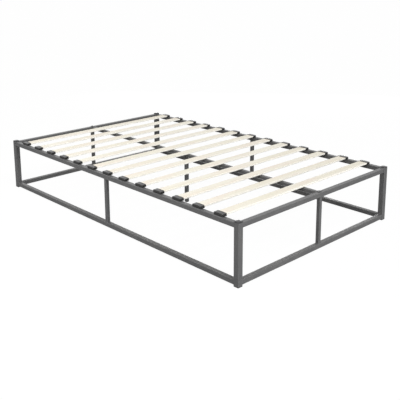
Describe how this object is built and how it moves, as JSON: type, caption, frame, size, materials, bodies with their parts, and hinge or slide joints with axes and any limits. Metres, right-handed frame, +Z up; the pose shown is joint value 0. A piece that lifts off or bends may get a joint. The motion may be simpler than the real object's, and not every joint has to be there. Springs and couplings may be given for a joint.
{
  "type": "bed frame",
  "caption": "Square-tube steel bed frame with upper and lower rails, corner posts, centre beam and leg, and flat wooden slats in moulded holders.",
  "frame": {"origin": "on the floor, in the middle of the footprint", "axes": "+X towards the foot end, +Y towards the far side, +Z up"},
  "size_m": [2.03, 1.23, 0.3238],
  "materials": {
    "powder_coated_steel": "satin powder coat, dark grey",
    "cap_plastic": "fine moulded texture, near black",
    "holder_plastic": "smooth moulded, near black, soft sheen",
    "birch_slat": "sanded pale birch, unlacquered",
    "black_bolts": "black oxide",
    "plain_nuts": "zinc plated"
  },
  "bodies": {
    "root": {"post_head_near": "powder_coated_steel", "post_head_far": "powder_coated_steel", "post_foot_near": "powder_coated_steel", "post_foot_far": "powder_coated_steel", "head_rail_top": "powder_coated_steel", "head_rail_bottom": "powder_coated_steel", "foot_rail_top": "powder_coated_steel", "foot_rail_bottom": "powder_coated_steel", "head_strut": "powder_coated_steel", "foot_strut": "powder_coated_steel", "side_strut_near": "powder_coated_steel", "side_strut_far": "powder_coated_steel", "side_rail_top_near": "powder_coated_steel", "side_rail_top_far": "powder_coated_steel", "side_rail_bottom_near": "powder_coated_steel", "side_rail_bottom_far": "powder_coated_steel", "centre_beam": "powder_coated_steel", "beam_hook_head": "powder_coated_steel", "beam_hook_foot": "powder_coated_steel", "centre_leg": "powder_coated_steel", "rail_stubs": "powder_coated_steel", "rail_bolts": "black_bolts", "beam_bolts": "black_bolts", "weld_nuts": "plain_nuts", "cap_head_near": "cap_plastic", "cap_head_far": "cap_plastic", "cap_foot_near": "cap_plastic", "cap_foot_far": "cap_plastic", "foot_head_near": "cap_plastic", "foot_head_far": "cap_plastic", "foot_foot_near": "cap_plastic", "foot_foot_far": "cap_plastic", "centre_leg_foot": "cap_plastic", "slat_01": "birch_slat", "slat_02": "birch_slat", "slat_03": "birch_slat", "slat_04": "birch_slat", "slat_05": "birch_slat", "slat_06": "birch_slat", "slat_07": "birch_slat", "slat_08": "birch_slat", "slat_09": "birch_slat", "slat_10": "birch_slat", "slat_11": "birch_slat", "slat_12": "birch_slat", "slat_13": "birch_slat", "slat_holders_01": "holder_plastic", "slat_holders_02": "holder_plastic", "slat_holders_03": "holder_plastic", "slat_holders_04": "holder_plastic", "slat_holders_05": "holder_plastic", "slat_holders_06": "holder_plastic", "slat_holders_07": "holder_plastic", "slat_holders_08": "holder_plastic", "slat_holders_09": "holder_plastic", "slat_holders_10": "holder_plastic", "slat_holders_11": "holder_plastic", "slat_holders_12": "holder_plastic", "slat_holders_13": "holder_plastic"}
  },
  "joints": []
}
